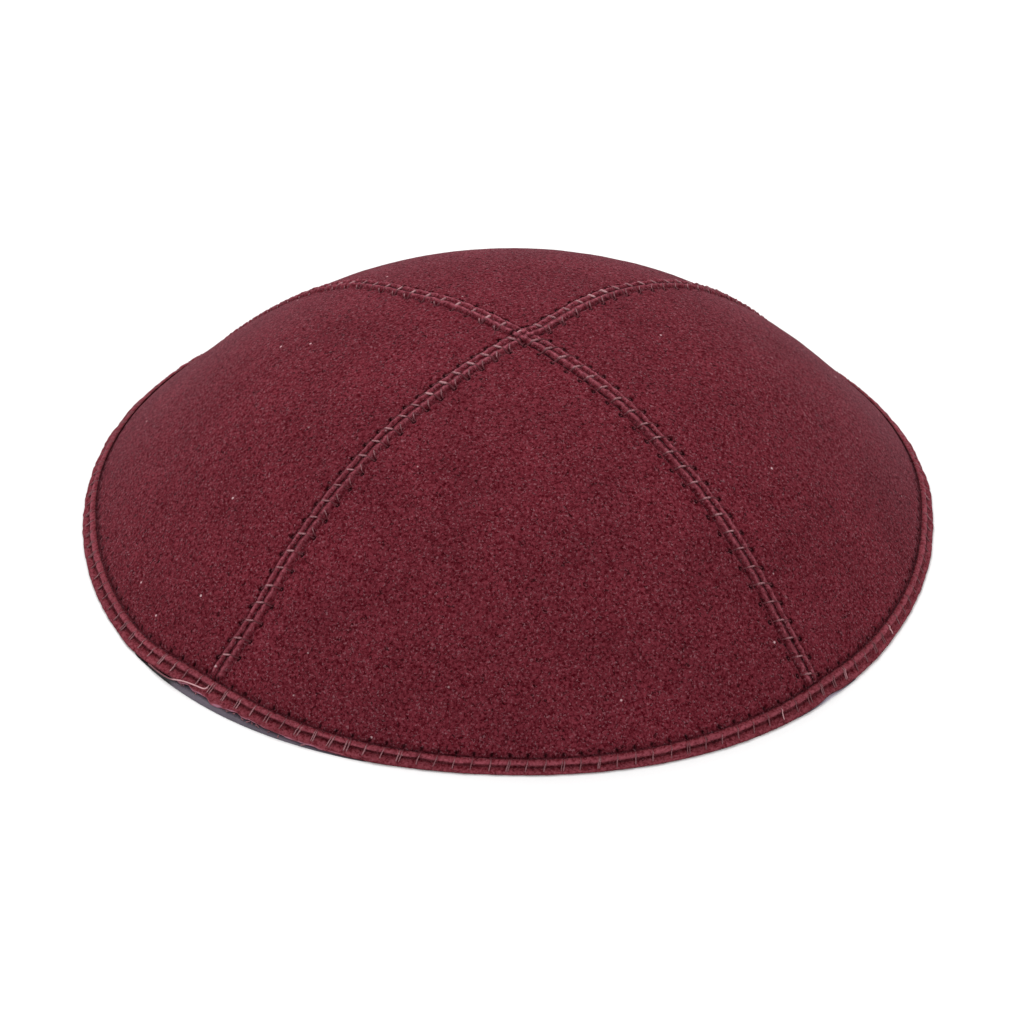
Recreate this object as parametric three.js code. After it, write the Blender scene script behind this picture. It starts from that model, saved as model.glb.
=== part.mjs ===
import * as THREE from "three";

// A four-panel suede skullcap, dome up, in millimetres, standing on its rim.
// The front panel faces -Y, and the four seams run at 45 degrees to X and Y.

// Driving dimensions
const rimRadius = 84;
const crownHeight = 45.9;
const apexOffset = 2.5;
const suedeThickness = 1.2;
const liningThickness = 1.0;
const clearance = 0.3;
const lipWidth = 1.15;
const lipHeight = 0.8;
const bindingWidth = 3.1;
const bindingRise = 0.7;
const turnedThickness = 1.2;
const turnedBend = 0.1;
const turnedShow = 0.4;
const turnedMinThickness = 0.6;

// Section of the crown: a conic from the apex to the rim, with the place of its
// shoulder as a share of the rim radius and its fullness, where 1 is a parabola.
const shoulderShare = 0.576;
const shoulderFullness = 1.29;

// The rim is nearly round: each row is a wave around the plan, as a share of the radius.
const planWaves = [
  { lobes: 2, share: 0.0131, toward: -6.6 },
  { lobes: 3, share: 0.0055, toward: 27.5 },
  { lobes: 4, share: 0.0109, toward: 39.1 },
  { lobes: 5, share: 0.0025, toward: 14.4 },
];
const waveFade = 1.5;

// A seam lip from the cut edge to the flat suede: shares of its width and height.
const lipSection = [
  { across: 0, up: 0.5 },
  { across: 0.45, up: 1 },
  { across: 0.75, up: 1 },
  { across: 1, up: 0 },
];

// The binding's outer face, from the lower edge up: two ridges with a stitched groove
// between them, as shares of its width up the slope and of its rise over the suede.
const bindingSection = [
  { along: 0, out: 0.4 },
  { along: 0.08, out: 0.85 },
  { along: 0.22, out: 1 },
  { along: 0.38, out: 0.85 },
  { along: 0.46, out: 0.05 },
  { along: 0.56, out: 0.05 },
  { along: 0.63, out: 0.85 },
  { along: 0.78, out: 1 },
  { along: 0.93, out: 0.85 },
  { along: 1, out: 0.3 },
];

// Stretch of the rim where the binding rides up and the lining's turned edge shows under it:
// the angles, in degrees, where it starts, is highest and ends.
const liftedStretch = { startAngle: 210, topAngle: 224, endAngle: 264 };

// Fineness of the faceted faces
const columnsAround = 64;
const rowsDown = 12;
const firstRowShare = 0.036;

const panelStarts = { panel_front: -135, panel_right: -45, panel_back: 45, panel_left: 135 };
const columnsPerPanel = columnsAround / Object.keys(panelStarts).length;

const radians = THREE.MathUtils.degToRad;
const rimSlope = Math.atan(crownHeight / (rimRadius * (1 - shoulderShare)));
const panelDepth = suedeThickness;
const liningOuterDepth = suedeThickness + clearance;
const liningInnerDepth = liningOuterDepth + liningThickness;

// Height of the crown, as a share, at a share of the radius
function heightShare(share) {
  const pull = 2 * shoulderFullness * shoulderShare;
  const swell = 2 * (shoulderFullness - 1);
  const square = 1 - pull + swell * share;
  const linear = pull - swell * share;
  const t = (2 * share) / (linear + Math.sqrt(linear * linear + 4 * square * share));
  const upper = (1 - t) ** 2 + 2 * shoulderFullness * t * (1 - t);
  return upper / (upper + t * t);
}

// Swelling of the plan toward an angle, as a share of the radius at the rim
function planSwell(angle) {
  return planWaves.reduce(
    (sum, { lobes, share, toward }) => sum + share * Math.cos(lobes * (angle - radians(toward))),
    0,
  );
}

// Rim radius of the face that lies at a depth under the suede's outer face
function rimRadiusAt(depth) {
  return rimRadius - depth / Math.sin(rimSlope);
}

// Plan radius at a share of the way from the apex to the rim
function planRadius(share, angle, depth) {
  return share * rimRadiusAt(depth) * (1 + planSwell(angle) * share ** waveFade);
}

// Share of the way from the apex to the rim at a plan radius
function shareAt(radius, angle, depth) {
  let share = radius / rimRadiusAt(depth);
  for (let pass = 0; pass < 8; pass += 1) {
    share = radius / (rimRadiusAt(depth) * (1 + planSwell(angle) * share ** waveFade));
  }
  return share;
}

function leaned(x, y, z) {
  return new THREE.Vector3(x + (apexOffset * z) / crownHeight, y, z);
}

// Point of a face at an angle and a share of the way to the rim, pushed outward in plan
function domePoint(angle, share, depth, outward = 0) {
  const radius = planRadius(share, angle, depth) + outward;
  const z = (crownHeight - depth) * heightShare(share);
  return leaned(radius * Math.cos(angle), radius * Math.sin(angle), z);
}

// Point of a face over a place in plan
function pointOver(x, y, depth) {
  const share = shareAt(Math.hypot(x, y), Math.atan2(y, x), depth);
  return leaned(x, y, (crownHeight - depth) * heightShare(share));
}

// Share of the way to the rim at a distance up the slope from it
function shareUpSlope(distance) {
  return 1 - (distance * Math.cos(rimSlope)) / rimRadius;
}

// Height of the binding's lower edge over the ground
function liftAt(angle) {
  const { startAngle, topAngle, endAngle } = liftedStretch;
  const direction = (THREE.MathUtils.radToDeg(angle) + 720) % 360;
  const rising = THREE.MathUtils.smoothstep(direction, startAngle, topAngle);
  const falling = 1 - THREE.MathUtils.smoothstep(direction, topAngle, endAngle);
  return (turnedThickness + clearance) * rising * falling;
}

// Height of the lining's turned edge, a clearance under the binding
function turnedHeightAt(angle) {
  return Math.max(turnedMinThickness, liftAt(angle) - clearance);
}

// How far the turned edge reaches out from the lining's wall: a little past the rim's outline
// where there is room for it under the binding, and not at all elsewhere
function turnedReachAt(angle) {
  const room = THREE.MathUtils.smoothstep(liftAt(angle) - clearance, turnedMinThickness, turnedThickness);
  return (liningOuterDepth / Math.sin(rimSlope) + turnedShow) * room;
}

// One closed surface from rows of points that run once around, between two poles or in a ring
function sweepAround(rows, poles) {
  const around = rows[0].length;
  const points = rows.flat();
  const triangles = [];
  const at = (row, column) => row * around + (column % around);
  const lastRow = poles ? rows.length - 1 : rows.length;
  for (let row = 0; row < lastRow; row += 1) {
    const below = (row + 1) % rows.length;
    for (let column = 0; column < around; column += 1) {
      triangles.push(at(row, column), at(below, column), at(below, column + 1));
      triangles.push(at(row, column), at(below, column + 1), at(row, column + 1));
    }
  }
  if (poles) {
    const [first, last] = [points.length, points.length + 1];
    points.push(...poles);
    for (let column = 0; column < around; column += 1) {
      triangles.push(first, at(0, column), at(0, column + 1));
      triangles.push(last, at(rows.length - 1, column + 1), at(rows.length - 1, column));
    }
  }
  return geometryOf(points, triangles);
}

function geometryOf(points, triangles) {
  const geometry = new THREE.BufferGeometry().setFromPoints(points);
  geometry.setIndex(triangles);
  geometry.computeVertexNormals();
  return geometry;
}

function anglesAround() {
  return Array.from({ length: columnsAround }, (_, column) => (2 * Math.PI * column) / columnsAround);
}

// Shares of the rows between the apex and a lower edge, evenly spaced along the curve
function rowShares() {
  const rows = Array.from({ length: rowsDown }, (_, row) => {
    const turn = (rimSlope * (row + 1)) / rowsDown;
    return Math.sin(turn) / Math.sin(rimSlope);
  });
  return [firstRowShare, ...rows];
}

// Share of the way to the rim where the panels stop above the binding
function panelEdgeShare(angle) {
  const gap = clearance / Math.sin(rimSlope);
  return shareUpSlope(bindingWidth + gap + liftAt(angle) / Math.sin(rimSlope));
}

// The columns of a panel: its lip at one seam, the field, and its lip at the other seam
function panelColumns() {
  const first = lipSection.map(({ across, up }) => ({ fromStart: across * lipWidth, rise: up * lipHeight }));
  const last = lipSection.map(({ across, up }) => ({ fromEnd: across * lipWidth, rise: up * lipHeight }));
  const field = Array.from({ length: columnsPerPanel - 1 }, (_, column) => ({
    between: (column + 1) / columnsPerPanel,
    rise: 0,
  }));
  return [...first, ...field, ...last.reverse()];
}

// Angle of a panel's column from its first seam, at a radius from the panel's corner
function columnAngle({ fromStart, fromEnd, between }, radius) {
  const quarter = Math.PI / 2;
  const lipAngle = Math.asin(lipWidth / radius);
  if (fromStart !== undefined) return Math.asin(fromStart / radius);
  if (fromEnd !== undefined) return quarter - Math.asin(fromEnd / radius);
  return lipAngle + between * (quarter - 2 * lipAngle);
}

// Point of a panel, whose corner stands half a clearance from both seam planes
function panelPoint(start, column, rowShare, depth) {
  const corner = clearance / 2;
  const nominal = columnAngle(column, rimRadius);
  const toward = start + nominal;
  const edge = planRadius(panelEdgeShare(toward), toward, depth);
  const edgeRadius = edge - corner * (Math.cos(nominal) + Math.sin(nominal));
  const radius = rowShare * edgeRadius;
  const angle = columnAngle(column, radius);
  const along = corner + radius * Math.cos(angle);
  const across = corner + radius * Math.sin(angle);
  const x = along * Math.cos(start) - across * Math.sin(start);
  const y = along * Math.sin(start) + across * Math.cos(start);
  return pointOver(x, y, depth);
}

function panelTip(start, depth) {
  const corner = (clearance / 2) * Math.SQRT2;
  const middle = start + Math.PI / 4;
  return pointOver(corner * Math.cos(middle), corner * Math.sin(middle), depth);
}

// A suede panel: a curved wall over a quarter of the crown, with a raised lip along each seam
function panelGeometry(startDegrees) {
  const start = radians(startDegrees);
  const columns = panelColumns();
  const shares = rowShares();
  const face = (depthOf) =>
    shares.flatMap((share) => columns.map((column) => panelPoint(start, column, share, depthOf(column))));
  const points = [...face(({ rise }) => -rise), ...face(() => panelDepth)];
  const perFace = shares.length * columns.length;
  const outerTip = points.length;
  const innerTip = outerTip + 1;
  points.push(panelTip(start, -columns[0].rise), panelTip(start, panelDepth));
  const outer = (row, column) => (row < 0 ? outerTip : row * columns.length + column);
  const inner = (row, column) => (row < 0 ? innerTip : perFace + row * columns.length + column);
  const lastRow = shares.length - 1;
  const lastColumn = columns.length - 1;
  const triangles = [];
  const quad = (a, b, c, d) => {
    if (a !== b) triangles.push(a, b, c);
    if (c !== d) triangles.push(a, c, d);
  };
  for (let row = -1; row < lastRow; row += 1) {
    const below = row + 1;
    for (let column = 0; column < lastColumn; column += 1) {
      const next = column + 1;
      if (row < 0) {
        triangles.push(outerTip, outer(0, column), outer(0, next));
        triangles.push(innerTip, inner(0, next), inner(0, column));
      } else {
        quad(outer(row, column), outer(below, column), outer(below, next), outer(row, next));
        quad(inner(row, next), inner(below, next), inner(below, column), inner(row, column));
      }
    }
    quad(outer(row, 0), inner(row, 0), inner(below, 0), outer(below, 0));
    quad(inner(row, lastColumn), outer(row, lastColumn), outer(below, lastColumn), inner(below, lastColumn));
  }
  for (let column = 0; column < lastColumn; column += 1) {
    const next = column + 1;
    quad(outer(lastRow, column), inner(lastRow, column), inner(lastRow, next), outer(lastRow, next));
  }
  return geometryOf(points, triangles);
}

// The rim binding: a ring over the panels' lower edge, flat underneath
function bindingGeometry() {
  const place = (angle, along) => shareUpSlope(along * bindingWidth + liftAt(angle) / Math.sin(rimSlope));
  const ring = (along, depth) => anglesAround().map((angle) => domePoint(angle, place(angle, along), depth));
  const outside = bindingSection.map(({ along, out }) => ring(along, -out * bindingRise));
  return sweepAround([ring(1, panelDepth), ...outside.reverse(), ring(0, panelDepth)]);
}

// The lining: a thin wall under all the panels, whose lower edge turns out under the binding
function liningGeometry() {
  const shareOver = (height) => shareUpSlope(height / Math.sin(rimSlope));
  const wall = (part, depth) =>
    anglesAround().map((angle) => {
      const lowest = shareOver(turnedHeightAt(angle) + turnedBend);
      return domePoint(angle, part * lowest, depth);
    });
  const turned = (heightAt) =>
    anglesAround().map((angle) => {
      return domePoint(angle, shareOver(heightAt(angle)), liningOuterDepth, turnedReachAt(angle));
    });
  const inside = anglesAround().map((angle) => domePoint(angle, 1, liningInnerDepth));
  const rows = [
    ...rowShares().map((part) => wall(part, liningOuterDepth)),
    turned(turnedHeightAt),
    turned(() => 0),
    inside,
    ...rowShares().map((part) => wall(part, liningInnerDepth)).reverse(),
  ];
  return sweepAround(rows, [domePoint(0, 0, liningOuterDepth), domePoint(0, 0, liningInnerDepth)]);
}

function suedeMaterial() {
  return new THREE.MeshStandardMaterial({ color: 0x63272f, roughness: 0.95, metalness: 0 });
}

function satinMaterial() {
  return new THREE.MeshStandardMaterial({ color: 0x5d4f62, roughness: 0.45, metalness: 0 });
}

function named(name, geometry, material) {
  const mesh = new THREE.Mesh(geometry, material);
  mesh.name = name;
  return mesh;
}

const cap = new THREE.Group();
cap.name = "skullcap";
for (const [name, start] of Object.entries(panelStarts)) {
  cap.add(named(name, panelGeometry(start), suedeMaterial()));
}
cap.add(named("rim_binding", bindingGeometry(), suedeMaterial()));
cap.add(named("lining", liningGeometry(), satinMaterial()));

// The origin is the middle of the cap's box, on the ground.
const middle = new THREE.Box3().setFromObject(cap).getCenter(new THREE.Vector3());
cap.position.set(-middle.x, -middle.y, 0);

export default cap;
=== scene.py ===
import math

import bpy
import numpy as np
from mathutils import Matrix, Vector


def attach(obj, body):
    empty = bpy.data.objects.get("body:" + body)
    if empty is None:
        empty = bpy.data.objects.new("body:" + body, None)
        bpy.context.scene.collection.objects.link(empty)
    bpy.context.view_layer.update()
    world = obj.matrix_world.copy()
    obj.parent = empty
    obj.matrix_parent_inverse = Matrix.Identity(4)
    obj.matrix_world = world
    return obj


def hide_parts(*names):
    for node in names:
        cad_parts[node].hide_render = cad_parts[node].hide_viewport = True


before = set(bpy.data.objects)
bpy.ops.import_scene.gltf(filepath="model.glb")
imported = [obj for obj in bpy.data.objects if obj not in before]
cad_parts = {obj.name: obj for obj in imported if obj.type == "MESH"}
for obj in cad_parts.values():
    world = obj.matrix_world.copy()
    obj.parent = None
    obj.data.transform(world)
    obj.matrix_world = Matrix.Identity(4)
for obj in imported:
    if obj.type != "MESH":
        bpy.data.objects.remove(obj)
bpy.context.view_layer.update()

# Lengths below are in millimetres, in the cap's own plan frame, whose centre lies under
# the crossing of the seams. MM and CAP_CENTRE take them to the shared frame in metres.
MM = 0.001
CAP_CENTRE = np.array([-0.1366, 0.2595, 0.0])

# The same driving sizes as the solids
RIM_RADIUS = 84.0
CROWN_HEIGHT = 45.9
APEX_OFFSET = 2.5
SUEDE_THICKNESS = 1.2
LINING_THICKNESS = 1.0
CLEARANCE = 0.3
BINDING_RISE = 0.7
TURNED_SHOW = 0.4
SHOULDER_SHARE = 0.576
SHOULDER_FULLNESS = 1.29
PLAN_WAVES = [(2, 0.0131, -6.6), (3, 0.0055, 27.5), (4, 0.0109, 39.1), (5, 0.0025, 14.4)]
WAVE_FADE = 1.5

# Stretches of the rim where the binding rides up over the lining's turned edge: the
# directions where each starts, is highest and ends, and how thick the turned edge is
LIFTED_STRETCHES = [
    {"start": 208.0, "top": 224.0, "end": 253.0, "turned": 1.1},
    {"start": 308.0, "top": 317.0, "end": 325.0, "turned": 0.14},
]
LIFT_OVER_TURNED = 1.25
PANEL_STARTS = {"front": -135.0, "right": -45.0, "back": 45.0, "left": 135.0}

# Width of the binding: directions, and its width below and above its groove at each
BAND_WIDTHS = [
    (12, 1.55, 1.55), (170, 1.55, 1.55), (182, 1.9, 1.9), (205, 1.85, 1.9),
    (211, 2.2, 1.55), (218, 2.05, 1.7), (224, 2.0, 1.7), (232, 2.05, 1.55),
    (247, 2.15, 1.45), (255, 2.05, 1.35), (262, 1.65, 1.6), (275, 1.5, 1.65),
    (290, 1.6, 1.8), (302, 1.95, 1.8), (318, 2.2, 1.9), (330, 1.8, 1.75),
    (345, 1.6, 1.65), (358, 1.9, 1.9),
]

# How deep the binding's groove is and how dark its painted shade: directions, and a share at each
GROOVE_SHOWS = [(0, 180, 300, 318, 328, 345, 360), (0.6, 0.6, 0.72, 0.6, 0.15, 0.2, 0.6)]
# How pale the rungs of the rim are: directions, and a share at each
RUNGS_SHOW = [
    (0, 180, 200, 212, 250, 262, 300, 345, 360),
    (0.6, 0.5, 0.5, 0.9, 0.9, 0.65, 0.45, 0.3, 0.6),
]
# A few rungs with a painted highlight: their directions, how near a stitch lies to one, and how
# pale
HIGHLIGHTED_RUNGS = {"at": (309.0, 320.0, 332.0), "within": 1.3, "show": 1.4}

# Seams, by direction. "stitches" gives the place of some stitches, by their number from the
# crossing. "drift" is how far the seam lies aside of a straight line, at lengths along it.
# "rung" is the bright part of each stitch's thread, painted as a highlight: its middle aside of
# the groove, and how far it leans. "holes" gives the needle hole on each side, across and along
# from the stitch, and "lines" how dark the painted shade of the pressed line is there. "strand"
# is a second, fainter thread over one lip, from and to places beside the stitch, until a length
# along the seam.
SEAMS = {
    -135.0: {
        "stitches": [(0, 2.9), (12, 47.8), (23, 90.9)],
        "drift": [(0, 0.5), (8, 0.4), (20, 0.1), (42, -0.2), (65, 0.1), (82, 0.7), (95, -0.1)],
        "rung": {"middle": -0.25, "lean": -0.45},
        "holes": {1: (2.3, -0.6), -1: (2.1, 1.4)},
        "lines": {1: 0.5, -1: 0.8},
        "strand": {"way": 1, "from": (0.95, 1.7), "to": (2.35, 2.7), "until": 60.0},
    },
    -45.0: {
        "stitches": [(0, 3.4), (12, 49.9), (23, 93.0)],
        "drift": [(0, 0.0), (6, 0.35), (20, 0.25), (48, -0.25), (62, 0.0), (84, 0.05), (95, 0.4)],
        "rung": {"middle": -0.45, "lean": 0.3},
        "holes": {1: (2.2, 1.25), -1: (2.6, -0.7)},
        "lines": {1: 0.25, -1: 1.0},
        "strand": None,
    },
    45.0: {
        "stitches": [(0, 3.9), (3, 16.6), (9, 38.6), (11, 46.9), (22, 89.0)],
        "drift": [(0, -0.5), (4, -1.2), (10, -0.8), (17, -0.15), (26, 0.1), (42, -0.4), (60, 0.0)],
        "rung": {"middle": 0.55, "lean": -0.5},
        "holes": {1: (2.1, -1.0), -1: (2.5, 0.4)},
        "lines": {1: 1.0, -1: 0.8},
        "strand": {"way": -1, "from": (0.9, 1.3), "to": (2.5, 0.4), "until": 99.0},
    },
    135.0: {
        "stitches": [(0, 0.9), (12, 48.0), (23, 90.4)],
        "drift": [(0, 0.0), (5, 0.4), (16, 0.65), (29, 1.45), (38, 0.9), (46, 0.0), (60, 0.0)],
        "rung": {"middle": 0.15, "lean": -0.05},
        "holes": {1: (2.1, 0.1), -1: (1.95, 1.3)},
        "lines": {1: 0.6, -1: 0.5},
        "strand": {"way": 1, "from": (1.3, 1.3), "to": (2.5, 0.0), "until": 99.0},
    },
}

# Section across a seam: the gap between its panels, a lip on each side whose foot in the gap
# has GROOVE_SHARE of its height, a pressed line beside the lip, and needle holes
SEAM_GAP = 0.05
SEAM_REACH = 4.0
LIP_CREST = 0.88
LIP_HEIGHT = 0.6
LIP_HALF = 0.66
LIP_FULLNESS = 0.8
GROOVE_SHARE = 0.45
LINE_AT = 1.75
LINE_HALF = 0.42
LINE_DEPTH = 0.18
HOLE_DEPTH = 0.45
HOLE_LENGTH = 0.78
HOLE_WIDTH = 0.6
# Painted shade in the needle holes: how soon it is full
HOLE_SHADE = 2.2

# Along a seam: how far aside its drift moves the suede, the length by the crossing where the
# thread is thicker, the mean pitch, and how far the rungs of thread pinch the lips
DRIFT_SPREAD = 12.0
SEAM_TIGHT = 18.0
STITCH_PITCH = 3.85
PINCH = 0.3
PINCH_WIDTH = 0.4

# How dark the painted shade in the gap and on the pressed lines is, and how strong the painted
# highlight on the crests, times the factors near the crossing and far from it
GAP_SHADE = {"half": 0.42, "mean": 0.75, "swing": 0.2, "near": 0.4, "far": 1.0}
LINE_SHADE = {"mean": 0.95, "near": 1.0, "far": 0.55}
CREST_HIGHLIGHT = {"half": 0.55, "mean": 0.8, "near": 1.25, "far": 1.0}

# Waves of unevenness along the seams: the height and rate of each, and how far the seam's
# direction and the side of it move the wave on
SEAM_WAVES = {
    "sway": [(0.07, 1.9, 1, 1), (0.04, 4.3, 0, 0)],
    "lip": [(0.1, 3.1, 2, 1), (0.08, 7.7, 0, 0)],
    "line": [(0.2, 1.3, 1, 3), (0.18, 3.4, 0, 1)],
    "crest": [(0.2, 2.3, 0, 1)],
}
SWAY_FROM = 0.4
SWAY_TO = 3.0

# Rungs of thread over a seam: half the length of the bright part, a painted highlight, and how it
# fades, how closely they follow the lips and span the groove, and how they dive into the holes
RUNG_HALF = 0.66
RUNG_FADE = (-0.2, 0.4)
RUNG_HUG = 0.7
RUNG_SPAN = 0.8
RUNG_DIVE = {"depth": 0.3, "ramp": (1.5, 0.5)}
SEAM_THREAD = 0.18
THICKER_NEAR = 0.35
# Painted highlight, stronger on the threads near the crossing
HIGHLIGHT_NEAR = 0.2
STRAND_THREAD = 0.12
STRAND_HUG = 0.9
STRANDS_MISSING = 0.15

# Rim: two ridges with a groove between them, crossed by a slanted rung at each stitch.
# Places on the binding are shares of its width, 0 at its lower edge and 1 at its upper one.
# The ridge table gives the place, half width and strength of the painted highlight on each crest.
RIM_STITCHES = 147
RIDGE_MIDDLES = (0.21, 0.79)
RIDGE_HALF = 0.25
RIDGE_FULLNESS = 0.6
RIDGE_HIGHLIGHT = [(0.79, 0.22, 1.0), (0.24, 0.22, 0.45)]
BINDING_BASE = 0.06
GROOVE_FILL = {"most": 0.95, "half": 0.42}
# Painted shade in the groove, by its half width, and along the binding's upper edge
GROOVE_SHADE_HALF = 0.12
EDGE_SHADE = {"half": 0.05, "dark": 0.8}
RUNG_PINCH = {"lower": 0.08, "more": 0.17, "width": 0.5}
EDGE_PINCH = {"depth": 0.14, "width": 0.7}
LEAST_RISE = 0.02
RIM_SLANT = 0.35
RIM_THREAD = 0.13
RUNG_PAIR = 0.24
PAIRED = {"lifted": 0.6, "flat": 0.3}
PANEL_TUCK = 1.4

# On the panels just above the binding: needle holes of half sizes along and up, with painted
# shade in them, a shallow dip, and two lines of painted shade by place up the slope from the
# binding, half width and darkness
RIM_HOLE = {"above": 0.55, "along": 0.5, "up": 0.75, "depth": 0.35, "dark": 2.0}
RIM_DIP = {"half": 0.9, "depth": 0.15}
RIM_SHADE_LINES = [(0.02, 0.38, 0.62), (0.5, 1.1, 0.2)]
SEAM_RELIEF_FADE = (-0.5, 1.2)
# How the painted highlight on the seams' crests fades in above the binding
SEAM_HIGHLIGHT_FADE = (0.0, 1.5)

# Small unevenness: the height, wavelength and seed of each layer of ripples
PANEL_RIPPLES = [(0.07, 26.0, 3), (0.03, 7.0, 4), (0.012, 1.8, 5)]
BINDING_RIPPLES = [(0.04, 3.2, 11), (0.05, 11.0, 12), (0.02, 1.3, 14)]

# Spacing of a panel's grid lines by the seam and by the far edge: the finest, what it
# widens by, and where that starts and over what distance
BY_SEAM = (0.17, 0.18, 2.8, 5.0)
BY_EDGE = (0.24, 0.11, 5.0, 5.0)

# Section of the lining's turned edge, as shares of its height and of its reach outwards
TURNED_SECTION = [
    (1.1, 0.05), (1.0, 0.3), (0.98, 0.7), (0.92, 0.9),
    (0.75, 0.98), (0.4, 1.0), (0.12, 0.97), (0.0, 0.85),
]

# Loose end of thread at the front left: directions, and how far up the slope and out from
# the suede it lies at each
LOOSE_END = [
    (214.0, 0.9, 0.6), (217.2, 1.25, 0.85), (218.9, 1.65, 0.95), (219.8, 2.2, 0.95),
    (220.8, 2.7, 0.95), (222.0, 3.1, 0.95), (223.3, 3.35, 0.9), (224.5, 3.5, 0.85),
    (224.9, 3.95, 0.75), (224.8, 4.35, 0.5),
]
LOOSE_THREAD = 0.14

# Frayed stretch of the binding's lower edge: its directions and how it fades in and out, how
# rough it is and where less so, the pale strip along it, and its loose fibres
FRAYED = {"from": 217.0, "fade_in": 4.0, "to": 251.0, "fade_out": 8.0, "rough": 0.07}
FRAYED_LESS = {"by": 0.6, "ramp": (228.0, 4.0)}
FRAYED_PALE = {"at": 0.09, "half": 0.14, "pale": 1.8, "mottle": 0.6}
FIBRES = 16

# Steps in the binding's lower edge: direction, half length and rise as a share of its width
EDGE_STEPS = [(226.6, 1.7, -0.2), (317.0, 2.7, 0.09)]

# Where the lining's edge is shaded, comes into the light and dims again, and gleams
LINING_SHADOW = {"from": 200.0, "to": 290.0, "lit": (218.3, 1.6), "dimmed": (238.0, 12.0)}
LINING_DIM = 0.5
LINING_GLEAM = {"direction": 317.0, "half": 4.5}

# Camera, from the cap's outline and seams in the photograph
CAMERA_ELEVATION = 35.42
CAMERA_AZIMUTH = -0.785
CAMERA_ROLL = 0.343
CAMERA_DISTANCE = 1680.0
CAMERA_LENS = 296.84
CAMERA_TARGET = (0.874, 0.0, 3.053)
SENSOR_WIDTH = 36.0

# Floor and lights, in metres and watts
FLOOR_HALF = 6.0
WORLD_STRENGTH = 0.8
AREA_LIGHTS = [
    {"name": "high_back", "size": 0.9, "power": 10.0, "place": (-0.25, 0.7, 1.1)},
    {"name": "front_fill", "size": 0.8, "power": 2.7, "place": (0.5, -1.0, 1.2)},
]

RIM_SLOPE = math.atan(CROWN_HEIGHT / (RIM_RADIUS * (1 - SHOULDER_SHARE)))
RIM_SINE, RIM_COSINE = math.sin(RIM_SLOPE), math.cos(RIM_SLOPE)
LINING_OUTER = SUEDE_THICKNESS + CLEARANCE
LINING_INNER = LINING_OUTER + LINING_THICKNESS


# Form of the crown

def height_share(share):
    """Height of the crown, as a share, at a share of the radius."""
    pull = 2 * SHOULDER_FULLNESS * SHOULDER_SHARE
    swell = 2 * (SHOULDER_FULLNESS - 1)
    square = 1 - pull + swell * share
    linear = pull - swell * share
    t = 2 * share / (linear + np.sqrt(linear * linear + 4 * square * share))
    upper = (1 - t) ** 2 + 2 * SHOULDER_FULLNESS * t * (1 - t)
    return upper / (upper + t * t)


def plan_swell(angle):
    """How far the plan stands out of a circle, as a share of its radius."""
    return sum(
        share * np.cos(lobes * (angle - math.radians(toward)))
        for lobes, share, toward in PLAN_WAVES
    )


def rim_radius_at(depth):
    return RIM_RADIUS - depth / RIM_SINE


def plan_radius(share, angle, depth=0.0):
    return share * rim_radius_at(depth) * (1 + plan_swell(angle) * share ** WAVE_FADE)


def share_at(radius, angle, depth=0.0):
    share = radius / rim_radius_at(depth)
    for _ in range(8):
        share = radius / (rim_radius_at(depth) * (1 + plan_swell(angle) * share ** WAVE_FADE))
    return share


def over_plan(x, y, depth=0.0):
    """Points of the face at a depth, over places in plan."""
    share = share_at(np.hypot(x, y), np.arctan2(y, x), depth)
    z = (CROWN_HEIGHT - depth) * height_share(share)
    return np.stack([x + APEX_OFFSET * z / CROWN_HEIGHT, y + 0 * z, z], -1)


def dome(angle, share, depth=0.0, outward=0.0):
    """Points of the face at a depth, at an angle and a share of the way to the rim."""
    radius = plan_radius(share, angle, depth) + outward
    z = (CROWN_HEIGHT - depth) * height_share(share)
    x = radius * np.cos(angle) + APEX_OFFSET * z / CROWN_HEIGHT
    return np.stack(np.broadcast_arrays(x, radius * np.sin(angle), z), -1)


def normals_over_plan(x, y, step=0.05):
    """Outward unit normals of the suede's face over places in plan."""
    along_x = over_plan(x + step, y) - over_plan(x - step, y)
    along_y = over_plan(x, y + step) - over_plan(x, y - step)
    normal = np.cross(along_x, along_y)
    return normal / np.linalg.norm(normal, axis=-1, keepdims=True)


def share_up_slope(distance):
    return 1 - distance * RIM_COSINE / RIM_RADIUS


def smooth(t):
    t = np.clip(t, 0, 1)
    return t * t * (3 - 2 * t)


def ramp(x, start, over):
    """0 up to start, and 1 from there on after a smooth rise."""
    return smooth((x - start) / over)


def turned_height_at(angle):
    """Height of the lining's turned edge over the ground, 0 outside the lifted stretches."""
    direction = np.degrees(angle) % 360
    height = 0.0
    for stretch in LIFTED_STRETCHES:
        rising = ramp(direction, stretch["start"], stretch["top"] - stretch["start"])
        falling = 1 - ramp(direction, stretch["top"], stretch["end"] - stretch["top"])
        height = height + stretch["turned"] * rising * falling
    return height


def lift_at(angle):
    """Height of the binding's lower edge over the ground."""
    return LIFT_OVER_TURNED * turned_height_at(angle)


def turned_reach_at(angle):
    """How far the turned edge reaches out from the lining's wall, a little past the rim."""
    direction = np.degrees(angle) % 360
    shown = 0.0
    for stretch in LIFTED_STRETCHES:
        rising = smooth((direction - stretch["start"]) / 3)
        falling = 1 - smooth((direction - stretch["end"]) / 3 + 1)
        shown = shown + rising * falling
    return (LINING_OUTER / RIM_SINE + TURNED_SHOW) * shown


def up_band(angle, along):
    """Distance up the slope from the ground to a share of the binding's width."""
    direction = np.degrees(angle) % 360
    at, lower, upper = zip(*BAND_WIDTHS)
    lower = np.interp(direction, at, lower, period=360)
    upper = np.interp(direction, at, upper, period=360)
    lift = lift_at(angle) / RIM_SINE
    return lift + 2 * lower * np.minimum(along, 0.5) + 2 * upper * np.maximum(along - 0.5, 0)


# Small helpers for shapes

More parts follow.
